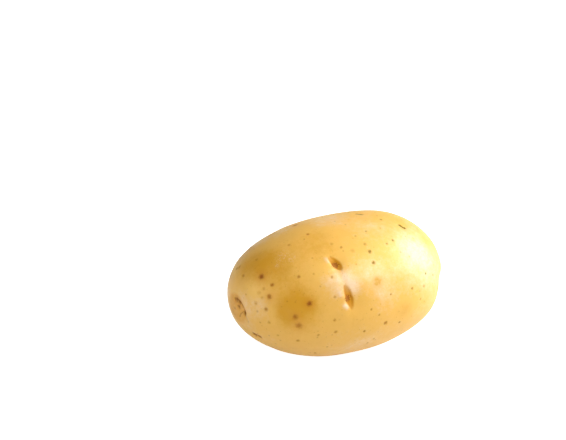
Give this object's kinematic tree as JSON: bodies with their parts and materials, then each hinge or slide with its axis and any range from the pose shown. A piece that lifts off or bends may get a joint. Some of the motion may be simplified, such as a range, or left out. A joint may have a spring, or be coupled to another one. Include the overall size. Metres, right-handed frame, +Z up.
{
  "type": "potato",
  "caption": "Whole oval waxy potato with yellow skin, sunken eyes, a stem scar and a small flat spot it rests on.",
  "frame": {"origin": "middle of the potato's bounding box in X and Y, at the height of the surface it rests on", "axes": "+X from the stem end to the bud end along the length, +Z up"},
  "size_m": [0.0846, 0.056, 0.0524],
  "materials": {
    "skin": "satin"
  },
  "bodies": {
    "root": {"potato": "skin"}
  },
  "joints": []
}
